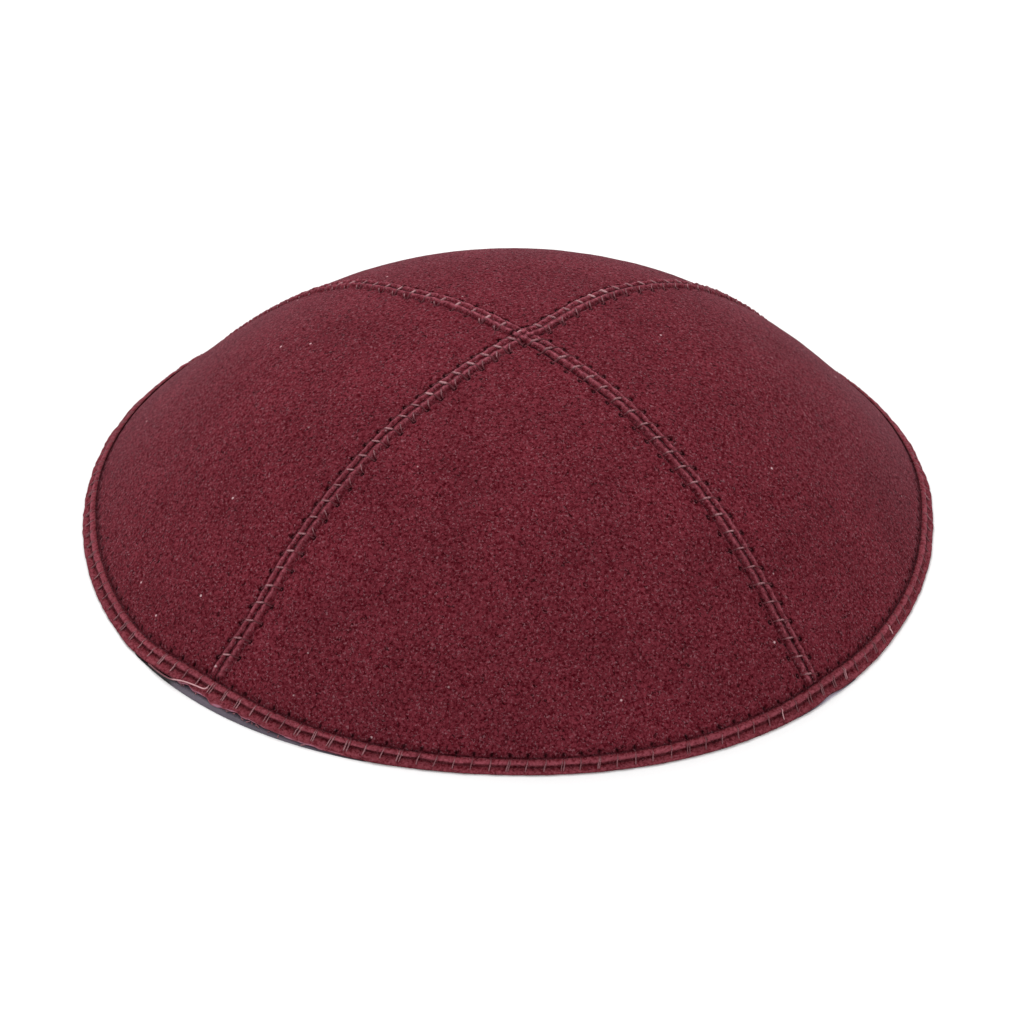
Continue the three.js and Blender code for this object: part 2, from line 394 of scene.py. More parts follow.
def bell(x, width):
    return np.exp(-((x / width) ** 2))


def hump(x, half):
    """1 in the middle, 0 from half outwards, with round shoulders."""
    return np.where(np.abs(x) < half, 0.5 + 0.5 * np.cos(np.pi * x / half), 0.0)


def ripples(points, wavelength, seed, waves=24):
    """A smooth random field of the points, about -1 to 1, the same on each run."""
    rng = np.random.default_rng(seed)
    directions = rng.normal(size=(waves, 3))
    directions /= np.linalg.norm(directions, axis=1, keepdims=True)
    lengths = wavelength * rng.uniform(0.7, 1.5, waves)
    phases = rng.uniform(0, 2 * np.pi, waves)
    total = np.zeros(points.shape[:-1])
    for direction, length, phase in zip(directions, lengths, phases):
        total += np.sin(points @ direction * (2 * np.pi / length) + phase)
    return total / math.sqrt(waves)


def unevenness(points, layers):
    return sum(height * ripples(points, length, seed) for height, length, seed in layers)


def added(name, data):
    piece = bpy.data.objects.new(name, data)
    bpy.context.scene.collection.objects.link(piece)
    return piece


def mesh_piece(name, points, quads, triangles=None, attributes=None):
    """A smooth mesh object that rides on the cap, from points in millimetres."""
    quads = np.asarray(quads, int).reshape(-1, 4)
    triangles = np.asarray([] if triangles is None else triangles, int).reshape(-1, 3)
    loops = np.concatenate([quads.ravel(), triangles.ravel()])
    starts = np.concatenate([np.arange(len(quads)) * 4, quads.size + np.arange(len(triangles)) * 3])
    mesh = bpy.data.meshes.new(name)
    mesh.vertices.add(len(points))
    mesh.vertices.foreach_set("co", ((points + CAP_CENTRE) * MM).ravel())
    mesh.loops.add(len(loops))
    mesh.loops.foreach_set("vertex_index", loops)
    mesh.polygons.add(len(starts))
    mesh.polygons.foreach_set("loop_start", starts)
    mesh.update(calc_edges=True)
    mesh.validate()
    mesh.shade_smooth()
    for label, values in (attributes or {}).items():
        mesh.attributes.new(label, "FLOAT", "POINT").data.foreach_set("value", values)
    piece = added(name, mesh)
    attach(piece, "root")
    return piece


def grid_quads(rows, columns, closed=False):
    """Quads of a grid of points that is laid out row by row."""
    row = np.arange(rows - 1)[:, None]
    column = np.arange(columns if closed else columns - 1)[None, :]
    following = (column + 1) % columns
    corners = [row * columns + column, row * columns + following]
    corners += [(row + 1) * columns + following, (row + 1) * columns + column]
    return np.stack(corners, -1).reshape(-1, 4)


# The seams

def seam_length_table(direction):
    """Plan radius and arc length from the crossing, along a seam."""
    angle = math.radians(direction)
    radius = np.linspace(0, RIM_RADIUS * 1.02, 600)
    line = over_plan(radius * math.cos(angle), radius * math.sin(angle))
    steps = np.linalg.norm(np.diff(line, axis=0), axis=1)
    return radius, np.concatenate([[0], np.cumsum(steps)])


def seam_end(direction):
    """Arc length at which a seam runs under the binding."""
    angle = math.radians(direction)
    radius, length = seam_length_table(direction)
    edge = share_up_slope(up_band(angle, 1.0))
    return float(np.interp(plan_radius(edge, angle), radius, length))


def drift_at(length, direction):
    """How far a seam lies aside of a straight line, at a length along it."""
    table = np.array(SEAMS[direction]["drift"], float)
    row = np.clip(np.searchsorted(table[:, 0], length) - 1, 0, len(table) - 2)
    t = smooth((length - table[row, 0]) / (table[row + 1, 0] - table[row, 0]))
    return table[row, 1] + (table[row + 1, 1] - table[row, 1]) * t


def drifted(x, y):
    """Places in plan, moved aside with the seams beside them."""
    moved_x, moved_y = x, y
    for direction in SEAMS:
        heading = math.radians(direction)
        along = x * math.cos(heading) + y * math.sin(heading)
        across = y * math.cos(heading) - x * math.sin(heading)
        radius, length = seam_length_table(direction)
        aside = drift_at(np.interp(along, radius, length), direction) * bell(across, DRIFT_SPREAD)
        aside = np.where(along > 0, aside, 0)
        moved_x = moved_x - aside * math.sin(heading)
        moved_y = moved_y + aside * math.cos(heading)
    return moved_x, moved_y


def stitch_places(direction):
    """Arc lengths of the stitches of a seam from the crossing."""
    table = np.array(SEAMS[direction]["stitches"], float)
    places = np.interp(np.arange(table[-1, 0] + 1), table[:, 0], table[:, 1])
    return places[places < seam_end(direction) - 1.0]


def nearest_stitch(length, direction):
    """Signed distance along the seam to its nearest stitch."""
    places = stitch_places(direction)
    middles = (places[1:] + places[:-1]) / 2
    return length - places[np.searchsorted(middles, length)]


def rung_along(across, direction):
    """How far along the seam from its stitch a rung lies, at a place across the seam."""
    seam = SEAMS[direction]
    (over, over_along), (under, under_along) = seam["holes"][1], seam["holes"][-1]
    middle, lean = seam["rung"]["middle"], seam["rung"]["lean"] * RUNG_HALF
    at = [-under, middle - RUNG_HALF, middle + RUNG_HALF, over]
    return np.interp(across, at, [under_along, -lean, lean, over_along])


def lip_profile(across):
    """Height of a lip over the suede at a distance from the seam, as a share."""
    lip = hump(across - LIP_CREST, LIP_HALF) ** LIP_FULLNESS
    return np.where(across < LIP_CREST, GROOVE_SHARE + (1 - GROOVE_SHARE) * lip, lip)


def seam_waves(kind, length, direction, way):
    """Unevenness along one side of a seam."""
    return sum(
        height * np.sin(length * rate + turn * direction + side * way)
        for height, rate, turn, side in SEAM_WAVES[kind]
    )


def by_crossing(values, away):
    """A factor that changes from the crossing outwards, as away goes from 0 to 1."""
    return values["near"] + (values["far"] - values["near"]) * away


def seam_relief(across, length, direction, way):
    """Rise over the suede, painted shade in the crevices and painted highlight on the crests,
    beside a seam.
    """
    seam = SEAMS[direction]
    hole_across, hole_along = seam["holes"][way]
    to_rung = nearest_stitch(length - rung_along(way * across, direction), direction)
    to_hole = nearest_stitch(length - hole_along, direction)
    away = ramp(length, SEAM_TIGHT, SEAM_TIGHT)
    hole = hump(np.hypot((across - hole_across) / HOLE_WIDTH, to_hole / HOLE_LENGTH), 1.0)
    sway = seam_waves("sway", length, direction, way)
    across = across + sway * smooth(across / SWAY_FROM) * (across < SWAY_TO)

    line = hump(across - LINE_AT, LINE_HALF)
    lip = LIP_HEIGHT * (1 - PINCH * bell(to_rung, PINCH_WIDTH)) * lip_profile(across)
    lip = lip * (1 + seam_waves("lip", length, direction, way))
    rise = lip - LINE_DEPTH * line - HOLE_DEPTH * hole

    # Painted shade in the gap between the lips, on the pressed lines and in the needle holes
    by_stitch = GAP_SHADE["swing"] * np.cos(4 * np.pi * to_rung / STITCH_PITCH)
    gap = hump(across, GAP_SHADE["half"]) * (GAP_SHADE["mean"] - by_stitch)
    gap = gap * by_crossing(GAP_SHADE, away)
    pressed = LINE_SHADE["mean"] + seam_waves("line", length, direction, way)
    pressed = seam["lines"][way] * pressed * by_crossing(LINE_SHADE, away) * line
    dark = np.maximum.reduce([gap, pressed, smooth(hole * HOLE_SHADE)])

    # Painted highlight along the lip's crest
    highlight_and_fray = CREST_HIGHLIGHT["mean"] + seam_waves("crest", length, direction, way)
    highlight_and_fray = highlight_and_fray * hump(across - LIP_CREST, CREST_HIGHLIGHT["half"]) * by_crossing(CREST_HIGHLIGHT, away)
    return rise, dark, highlight_and_fray


# The suede panels

def graded_lines(length):
    """Places of grid lines from a seam to the far edge: fine by the seam and by the edge."""
    def spacing(distance, finest, widening, start, over):
        return finest + widening * float(ramp(distance, start, over))

    places = [0.0]
    while places[-1] < length:
        here = places[-1]
        places.append(here + min(spacing(here, *BY_SEAM), spacing(length - here, *BY_EDGE)))
    places = np.array(places)
    return places / places[-1]


def rim_phase(angle):
    """Signed distance along the rim, in millimetres, to the nearest rim stitch."""
    turn = 2 * np.pi / RIM_STITCHES
    return (angle / turn - np.round(angle / turn)) * turn * RIM_RADIUS


def rim_relief(x, y, rise, dark, highlight_and_fray):
    """Adds the needle holes, the dip, and painted shade in the holes and along two lines above the
    binding.
    """
    angle = np.arctan2(y, x)
    up = (1 - share_at(np.hypot(x, y), angle)) * RIM_RADIUS / RIM_COSINE
    above = up - up_band(angle, 1.0)
    beside = rim_phase(angle - RIM_SLANT / RIM_RADIUS)
    over_hole = (above - RIM_HOLE["above"]) / RIM_HOLE["up"]
    hole = hump(np.hypot(beside / RIM_HOLE["along"], over_hole), 1.0)
    dip = RIM_HOLE["depth"] * hole + RIM_DIP["depth"] * hump(above, RIM_DIP["half"])
    # Painted shade in the holes and along the two lines
    lines = [deep * hump(above - place, half) for place, half, deep in RIM_SHADE_LINES]
    dark = np.maximum.reduce([dark, smooth(hole * RIM_HOLE["dark"]), *lines])
    rise = rise * ramp(above, *SEAM_RELIEF_FADE) - dip
    return rise, dark, highlight_and_fray * ramp(above, *SEAM_HIGHLIGHT_FADE)


def edge_wall(fine, rough, marks):
    """Triangles between a fine edge and a rough one, which share the points at the marks."""
    triangles = []
    for i in range(len(marks) - 1):
        first, last = marks[i], marks[i + 1]
        triangles += [(fine[k + 1], fine[k], rough[i]) for k in range(first, last)]
        triangles.append((fine[last], rough[i], rough[i + 1]))
    return triangles


def panel_piece(side, inner_step=4):
    """A quarter of the crown: a fine outer face, a plainer inner one, and closed edges."""
    first_seam = PANEL_STARTS[side]
    start = math.radians(first_seam)
    lines = graded_lines(RIM_RADIUS)

    def plan_at(places, depth):
        """Distances from the panel's corner along its two seams, for a square grid of lines."""
        s, t = np.meshgrid(places, places, indexing="ij")
        a = s * np.sqrt(1 - t * t / 2)
        b = t * np.sqrt(1 - s * s / 2)
        angle = start + np.arctan2(b, a)
        edge = share_up_slope(PANEL_TUCK + lift_at(angle) / RIM_SINE)
        reach = plan_radius(edge, angle, depth)
        return a * reach, b * reach

    def turned(u, v):
        u, v = u + SEAM_GAP, v + SEAM_GAP
        x = u * math.cos(start) - v * math.sin(start)
        y = u * math.sin(start) + v * math.cos(start)
        return x, y

    u, v = plan_at(lines, 0.0)
    x, y = drifted(*turned(u, v))
    base = over_plan(x, y)
    rise, dark, highlight_and_fray = np.zeros_like(u), np.zeros_like(u), np.zeros_like(u)
    second_seam = first_seam + 90.0 - (360.0 if first_seam > 90 else 0.0)
    for across, along, direction, way in ((v, u, first_seam, 1), (u, v, second_seam, -1)):
        radius, length = seam_length_table(direction)
        along = np.interp(along, radius, length)
        relief = seam_relief(across + SEAM_GAP, along, direction, way)
        near = across < SEAM_REACH
        rise = np.where(near & (np.abs(relief[0]) > np.abs(rise)), relief[0], rise)
        dark = np.where(near, np.maximum(relief[1], dark), dark)
        highlight_and_fray = np.where(near, np.maximum(relief[2], highlight_and_fray), highlight_and_fray)
    rise = rise + unevenness(base, PANEL_RIPPLES)
    rise, dark, highlight_and_fray = rim_relief(x, y, rise, dark, highlight_and_fray)
    outer = base + normals_over_plan(x, y) * rise[..., None]

    n = len(lines)
    marks = np.unique(np.concatenate([np.arange(0, n, inner_step), [n - 1]]))
    m = len(marks)
    inner_plan = drifted(*turned(*plan_at(lines[marks], SUEDE_THICKNESS)))
    inner = over_plan(*inner_plan, SUEDE_THICKNESS)
    points = np.concatenate([outer.reshape(-1, 3), inner.reshape(-1, 3)])
    quads = np.concatenate([grid_quads(n, n)[:, ::-1], grid_quads(m, m) + n * n])
    fine, rough = np.arange(n), np.arange(m)
    back_marks = (n - 1) - marks[::-1]
    triangles = edge_wall(fine * n, n * n + rough * m, marks)
    triangles += edge_wall((n - 1) * n + fine, n * n + (m - 1) * m + rough, marks)
    triangles += edge_wall(fine[::-1] * n + n - 1, n * n + rough[::-1] * m + m - 1, back_marks)
    triangles += edge_wall(fine[::-1], n * n + rough[::-1], back_marks)
    # The outer face's painted shade and painted highlight; the inner face has none
    attributes = {
        "painted_shade": np.concatenate([dark.ravel(), np.zeros(m * m)]),
        "highlight_and_fray": np.concatenate([highlight_and_fray.ravel(), np.zeros(m * m)]),
    }
    panel = mesh_piece(f"suede_panel_{side}", points, quads, triangles, attributes)
    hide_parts(f"panel_{side}")
    return panel


# The rim binding

def groove_at(angle):
    """How deep the groove of the binding is and how dark its painted shade, by direction."""
    return np.interp(np.degrees(angle) % 360, *GROOVE_SHOWS)


def binding_rise(along, beside, angle):
    """Rise of the binding over the suede, at a share of its width and beside a stitch."""
    ridges = sum(hump(along - middle, RIDGE_HALF) ** RIDGE_FULLNESS for middle in RIDGE_MIDDLES)
    filled = (GROOVE_FILL["most"] - groove_at(angle)) * hump(along - 0.5, GROOVE_FILL["half"])
    pinch = RUNG_PINCH["lower"] + RUNG_PINCH["more"] * ramp(along, 0.35, 0.3)
    pinch = pinch * bell(beside, RUNG_PINCH["width"])
    shape = np.maximum(ridges, filled) * (1 - pinch)
    return BINDING_RISE * (BINDING_BASE + (1 - BINDING_BASE) * shape)


def frayed_at(angle):
    """1 in the middle of the frayed stretch of the binding's lower edge, 0 outside it."""
    direction = np.degrees(angle) % 360
    fading_in = ramp(direction, FRAYED["from"], FRAYED["fade_in"])
    return fading_in * smooth((FRAYED["to"] - direction) / FRAYED["fade_out"])


def beside_stitch(angle, along):
    """Distance along the rim to the nearest rung, which leans along the rim as it goes up."""
    return rim_phase(angle - RIM_SLANT * (2 * along - 1) / RIM_RADIUS)


def binding_points(angle, along, out):
    """Points of the binding at a share of its width up the slope, out from the suede's face."""
    by_stitch = bell(beside_stitch(angle, 1.0), EDGE_PINCH["width"])
    pinch = EDGE_PINCH["depth"] * along ** 2 * by_stitch
    return dome(angle, share_up_slope(up_band(angle, along) - pinch), -out)


def binding_piece(count=1460, bands=32):
    """A closed ring over the rim: its two-ridged face, its flat underside and its inner wall."""
    angle = np.arange(count) * 2 * np.pi / count
    around = np.stack([np.cos(angle), np.sin(angle), 0 * angle], -1) * RIM_RADIUS
    degrees = np.degrees(angle)
    rough = np.maximum(FRAYED["rough"] * ripples(around, 2.6, 13) - 0.01, -FRAYED["rough"])
    less = FRAYED_LESS["by"] * ramp(degrees, *FRAYED_LESS["ramp"])
    ragged = frayed_at(angle) * rough * (1 - less)
    for direction, half, rise in EDGE_STEPS:
        ragged = ragged + rise * hump(degrees - direction, half)
    rows, painted_shades, highlights_and_fray = [], [], []
    for along in np.linspace(1, 0, bands):
        beside = beside_stitch(angle, along)
        rise = binding_rise(along, beside, angle)
        place = binding_points(angle, along, rise)
        off_edges = smooth((1 - along) * 8) * smooth(along * 8)
        rise = rise + unevenness(place, BINDING_RIPPLES) * off_edges
        rise = np.maximum(rise, LEAST_RISE)
        rows.append(binding_points(angle, along + ragged * (1 - smooth(along / 0.4)), rise))

        # Painted shade along the binding's upper edge and in its groove
        edge = EDGE_SHADE["dark"] * hump(along - 1, EDGE_SHADE["half"])
        painted_shades.append(np.maximum(groove_at(angle) * hump(along - 0.5, GROOVE_SHADE_HALF), edge))
        # Painted highlight on the ridges' crests, weaker at the rungs, and the frayed edge's own
        # pale strip
        pale = FRAYED_PALE["pale"] + FRAYED_PALE["mottle"] * ripples(around, 2.0, 15)
        fray = frayed_at(angle) * hump(along - FRAYED_PALE["at"], FRAYED_PALE["half"]) * pale
        between = 1 - 0.4 * bell(beside, 0.6)
        crests = [wear * hump(along - at, half) * between for at, half, wear in RIDGE_HIGHLIGHT]
        highlights_and_fray.append(np.maximum.reduce([*crests, fray]))
    ground = lift_at(angle) / RIM_SINE
    tuck = PANEL_TUCK - 0.06
    for up, out in ((0.0, -SUEDE_THICKNESS), (tuck, -SUEDE_THICKNESS), (tuck, LEAST_RISE)):
        rows.append(dome(angle, share_up_slope(ground + up), -out))
    rows.append(binding_points(angle, 0.97, LEAST_RISE))
    # The underside and inner wall are painted in full shade
    for _ in rows[bands:]:
        painted_shades.append(np.ones(count))
        highlights_and_fray.append(np.zeros(count))
    points = np.stack(rows).reshape(-1, 3)
    quads = grid_quads(len(rows), count, closed=True)[:, ::-1]
    last = (len(rows) - 1) * count
    closing = grid_quads(2, count, closed=True)[:, ::-1]
    closing = np.where(closing < count, closing + last, closing - count)
    quads = np.concatenate([quads, closing])
    attributes = {"painted_shade": np.concatenate(painted_shades), "highlight_and_fray": np.concatenate(highlights_and_fray)}
    binding = mesh_piece("suede_rim_binding", points, quads, None, attributes)
    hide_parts("rim_binding")
    return binding


# Sewing thread

def tube(path, normal, radius, pale, sides=7):
    """A round tube along a path with known normals, and how pale the thread is along it, which
    carries painted shade where it sinks and painted highlight over 1.
    """
    tangent = np.gradient(path, axis=0)
    tangent /= np.linalg.norm(tangent, axis=1, keepdims=True)
    across = np.cross(tangent, normal)
    across /= np.linalg.norm(across, axis=1, keepdims=True)
    up = np.cross(across, tangent)
    around = np.arange(sides) * 2 * np.pi / sides
    turn = around[None, :, None]
    ring = across[:, None] * np.cos(turn) + up[:, None] * np.sin(turn)
    last = (len(path) - 1) * sides
    caps = [(0, k, k + 1) for k in range(1, sides - 1)]
    caps += [(last, last + k + 1, last + k) for k in range(1, sides - 1)]
    return {
        "points": (path[:, None] + radius * ring).reshape(-1, 3),
        "quads": grid_quads(len(path), sides, closed=True),
        "triangles": np.array(caps),
        "pale": np.repeat(pale, sides),
    }


def tubes_piece(name, tubes):
    starts = np.concatenate([[0], np.cumsum([len(one["points"]) for one in tubes])])
    quads = np.concatenate([one["quads"] + start for one, start in zip(tubes, starts)])
    triangles = np.concatenate([one["triangles"] + start for one, start in zip(tubes, starts)])
    points = np.concatenate([one["points"] for one in tubes])
    pale = np.concatenate([one["pale"] for one in tubes])
    piece = mesh_piece(name, points, quads, triangles, {"pale": pale})
    return piece


def over_seam(direction, along, across, rise):
    """Points over a seam, and the suede's normals there."""
    heading = math.radians(direction)
    radius, length = seam_length_table(direction)
    reach = np.interp(np.maximum(along, 0), length, radius) + np.minimum(along, 0)
    x = reach * math.cos(heading) - across * math.sin(heading)
    y = reach * math.sin(heading) + across * math.cos(heading)
    x, y = drifted(x, y)
    normal = normals_over_plan(x, y)
    return over_plan(x, y) + normal * rise[:, None], normal


def seam_thread_piece(seed=21):
    """A rung of thread over both lips of a seam at each stitch, and a fainter strand by it."""
    rng = np.random.default_rng(seed)
    tubes = []
    for direction, seam in SEAMS.items():
        across = np.linspace(-seam["holes"][-1][0], seam["holes"][1][0], 34)
        distance = np.abs(across)
        span = np.where(distance < LIP_CREST, RUNG_SPAN, 0)
        lip = LIP_HEIGHT * RUNG_HUG * np.maximum(lip_profile(distance), span)
        dive = RUNG_DIVE["depth"] * ramp(distance, *RUNG_DIVE["ramp"])
        # Painted highlight over the middle of each rung, fading to painted shade where it dives to
        # the holes
        past = np.abs(across - seam["rung"]["middle"]) - RUNG_HALF
        bright = 1 - ramp(past, *RUNG_FADE)
        for place in stitch_places(direction):
            along = place + rung_along(across, direction) + rng.uniform(-0.12, 0.12)
            near = 1 - ramp(place, SEAM_TIGHT, SEAM_TIGHT)
            rise = lip - dive + SEAM_THREAD * (rng.uniform(0.4, 0.8) * bright - 0.5 * (1 - bright))
            path, normal = over_seam(direction, along, across, rise)
            thickness = SEAM_THREAD * rng.uniform(0.85, 1.15) * (1 + THICKER_NEAR * near)
            pale = bright * rng.uniform(0.65, 1.15) * (1 + HIGHLIGHT_NEAR * near)
            tubes.append(tube(path, normal, thickness, pale))
            strand = seam["strand"]
            if strand is None or place > strand["until"] or rng.random() < STRANDS_MISSING:
                continue
            t = np.linspace(0, 1, 12)
            aside, along = (
                start + (end - start) * t for start, end in zip(strand["from"], strand["to"])
            )
            along = place + along + rng.uniform(-0.2, 0.2)
            along = along + rng.uniform(0.0, 0.3) * np.sin(np.pi * t)
            rise = LIP_HEIGHT * STRAND_HUG * lip_profile(aside)
            rise = rise + STRAND_THREAD * (0.9 - 2.4 * ramp(t, 0.8, 0.2))
            path, normal = over_seam(direction, along, strand["way"] * aside, rise)
            thickness = STRAND_THREAD * (1 + THICKER_NEAR * near)
            pale = rng.uniform(0.6, 1.1) * (1 - ramp(t, 0.25, 0.4))
            tubes.append(tube(path, normal, thickness, pale, 6))
    return tubes_piece("seam_thread", tubes)


def rim_thread_piece(seed=22):
    """Rungs of thread over the groove of the binding, a single or a pair at each stitch."""
    rng = np.random.default_rng(seed)
    tubes = []
    along = np.linspace(0.93, 0.2, 26)
    shown = smooth((0.9 - along) / 0.14) * ramp(along, 0.22, 0.14)
    for stitch in range(RIM_STITCHES):
        middle = 2 * np.pi * stitch / RIM_STITCHES
        paired = PAIRED["lifted" if turned_height_at(middle) > 0.1 else "flat"]
        ways = (-1, 1) if rng.random() < paired else (0,)
        slant = RIM_SLANT + rng.uniform(-0.15, 0.15)
        degrees = 360 * stitch / RIM_STITCHES
        # A few rungs get a stronger painted highlight
        off_bright = min(abs(degrees - bright) for bright in HIGHLIGHTED_RUNGS["at"])
        show = float(np.interp(degrees, *RUNGS_SHOW))
        if off_bright < HIGHLIGHTED_RUNGS["within"]:
            show = HIGHLIGHTED_RUNGS["show"]
        for way in ways:
            shift = RUNG_PAIR * way * rng.uniform(0.7, 1.3) + rng.uniform(-0.1, 0.1)
            bow = 0.25 * rng.uniform(-1, 1) * (2 * along - 1.1) ** 2
            aside = slant * (2 * along - 1) + shift + bow
            angle = middle + aside / RIM_RADIUS
            rise = binding_rise(along, np.zeros_like(along), angle)
            span = np.where(np.abs(along - 0.5) < 0.25, 0.55 * BINDING_RISE, 0)
            rise = np.maximum(rise, span) + RIM_THREAD * (0.6 - 2.6 * (1 - shown))
            path = dome(angle, share_up_slope(up_band(angle, along)), -rise)
            # Painted highlight on the rung, and painted shade where it sinks under the binding's
            # edges
            pale = rng.uniform(0.5, 1.15) * show * shown + 0.05
            normal = normals_over_plan(path[:, 0], path[:, 1])
            tubes.append(tube(path, normal, RIM_THREAD * rng.uniform(0.8, 1.2), pale))
    return tubes_piece("rim_thread", tubes + [loose_end()] + frayed_fibres())


def loose_end():
    """The loose end of thread that lies on the binding at the front left."""
    t = np.linspace(0, len(LOOSE_END) - 1, 90)
    rows = range(len(LOOSE_END))
    direction, up, out = (np.interp(t, rows, column) for column in zip(*LOOSE_END))
    path = dome(np.radians(direction), share_up_slope(up), -out)
    for _ in range(14):
        path[1:-1] = (path[:-2] + 2 * path[1:-1] + path[2:]) / 4
    pale = 0.45 + ramp(t, 1.7, 1.0) - 0.4 * ramp(t, 7.6, 1.0)
    return tube(path, normals_over_plan(path[:, 0], path[:, 1]), LOOSE_THREAD, pale)


def frayed_fibres(seed=23):
    """Short fibres of raw suede along the frayed stretch of the binding's lower edge."""
    rng = np.random.default_rng(seed)
    fibres = []
    t = np.linspace(0, 1, 8)
    for _ in range(FIBRES):
        start = FRAYED["from"] + 3 + 24 * rng.random() ** 1.6
        lean, drop, bow = rng.uniform(-0.6, 0.6), rng.uniform(0.02, 0.09), rng.uniform(-0.15, 0.15)
        angle = np.radians(start + lean * t + bow * np.sin(np.pi * t))
        up = up_band(angle, rng.uniform(0.01, 0.05) - drop * t)
        path = dome(angle, share_up_slope(up), -(0.4 + rng.uniform(-0.1, 0.2) * t))
        normal = normals_over_plan(path[:, 0], path[:, 1])
        radius = rng.uniform(0.09, 0.14)
        pale = np.full_like(t, rng.uniform(0.4, 0.9))
        fibres.append(tube(path, normal, radius, pale, 5))
    return fibres


# The satin lining

def lining_piece(count=900):
    """A thin shell inside the panels, whose edge turns out under the binding."""
    angle = np.arange(count) * 2 * np.pi / count
    height = np.maximum(turned_height_at(angle), 0.12)
    reach = turned_reach_at(angle)
    bend = share_up_slope((height + 0.25) / RIM_SINE)
    rows = []
    for part in np.sin(np.linspace(0.03, 1, 12) * np.pi / 2):
        rows.append(dome(angle, part * bend, LINING_OUTER))
    for up, out in TURNED_SECTION:
        share = share_up_slope(up * height / RIM_SINE)
        rows.append(dome(angle, share, LINING_OUTER, reach * out))
    for share in np.concatenate([[1.0, 0.997], np.sin(np.linspace(0.985, 0.03, 60) * np.pi / 2)]):
        place = dome(angle, share, LINING_INNER)
        fold = 0.12 * ripples(place, 14.0, 31) * smooth((1 - share) * 12)
        gather = 0.1 * np.sin(angle * 97 + 2.5 * np.sin(angle * 5)) * hump(share - 0.96, 0.04)
        rows.append(dome(angle, share, LINING_INNER - fold - gather))
    grid = np.stack(rows)
    poles = np.stack([dome(0.0, 0.0, LINING_OUTER), dome(0.0, 0.0, LINING_INNER)])
    points = np.concatenate([grid.reshape(-1, 3), poles])
    quads = grid_quads(len(rows), count, closed=True)[:, ::-1]
    top, bottom = len(points) - 2, len(points) - 1
    last = (len(rows) - 1) * count
    fans = [(top, k, (k + 1) % count) for k in range(count)]
    fans += [(bottom, last + (k + 1) % count, last + k) for k in range(count)]
    direction = np.degrees(angle) % 360
    lit = ramp(direction, *LINING_SHADOW["lit"])
    shadow = 1 - lit * (1 - LINING_DIM * ramp(direction, *LINING_SHADOW["dimmed"]))
    shaded = (direction > LINING_SHADOW["from"]) & (direction <= LINING_SHADOW["to"])
    shadow = np.where(shaded, shadow, 0.0)
    gleam = hump(direction - LINING_GLEAM["direction"], LINING_GLEAM["half"])
    attributes = {
        "shadow": np.append(np.tile(shadow, len(rows)), [0.0, 0.0]),
        "gleam": np.append(np.tile(gleam, len(rows)), [0.0, 0.0]),
    }
    lining = mesh_piece("satin_lining", points, quads, np.array(fans), attributes)
    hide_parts("lining")
    return lining


# Materials

# The last tone of each set is both the painted highlight on crests and the pale frayed edge
PANEL_TONES = {
    "dark": (0.056, 0.0012, 0.0045, 1),
    "light": (0.167, 0.025, 0.037, 1),
    "pit": (0.016, 0.0010, 0.0016, 1),
    "fibre": (0.27, 0.118, 0.138, 1),
    "highlight_and_fray": (0.32, 0.08, 0.105, 1),
}
RIM_TONES = {
    "dark": (0.075, 0.003, 0.007, 1),
    "light": (0.19, 0.036, 0.047, 1),
    "pit": (0.03, 0.0015, 0.003, 1),
    "fibre": (0.26, 0.085, 0.105, 1),
    "highlight_and_fray": (0.29, 0.068, 0.09, 1),
}
# Pale frayed edge, also reached by the strongest painted crest highlight near the crossing
RUBBED_EDGE_TONE = (0.42, 0.19, 0.26, 1)
DUST_TONE = (0.55, 0.34, 0.36, 1)
# The thread's own dark and light tones, the painted shade of its sunk ends, and its painted
# highlight
THREAD_TONES = {
    "dark": (0.20, 0.075, 0.088, 1),
    "light": (0.42, 0.20, 0.22, 1),
    "sunk_shade": (0.10, 0.018, 0.025, 1),
    "bright": (0.85, 0.50, 0.52, 1),
}
SATIN_TONES = {
    "dark": (0.072, 0.056, 0.075, 1),
    "light": (0.13, 0.105, 0.135, 1),
    "weave": (0.22, 0.185, 0.24, 1),
    "shadow": (0.004, 0.0015, 0.003, 1),
    "gleam": (0.6, 0.56, 0.66, 1),
}

# Noise of the nap, pits, fibres and clouds of the suede: millimetres across a feature,
# detail, roughness and distortion
SUEDE_GRAIN = [
    (0.57, 3.0, 0.62, 0.5), (0.86, 2.0, 0.55, 0.8), (0.42, 2.0, 0.6, 0.6), (14.0, 3.0, 0.5, 0.0),
]
NAP_SPREAD = (0.36, 0.64)
CLOUD_SPREAD = (0.3, 0.7)
CREVICE_SHADE = 0.12

# Specks of dust: one at most in a cell, where its random value is over the first limit, and
# the speck's radius as a share of the cell
DUST = {"cell": 3.0, "picked": (0.93, 0.94), "radius": (0.11, 0.06)}


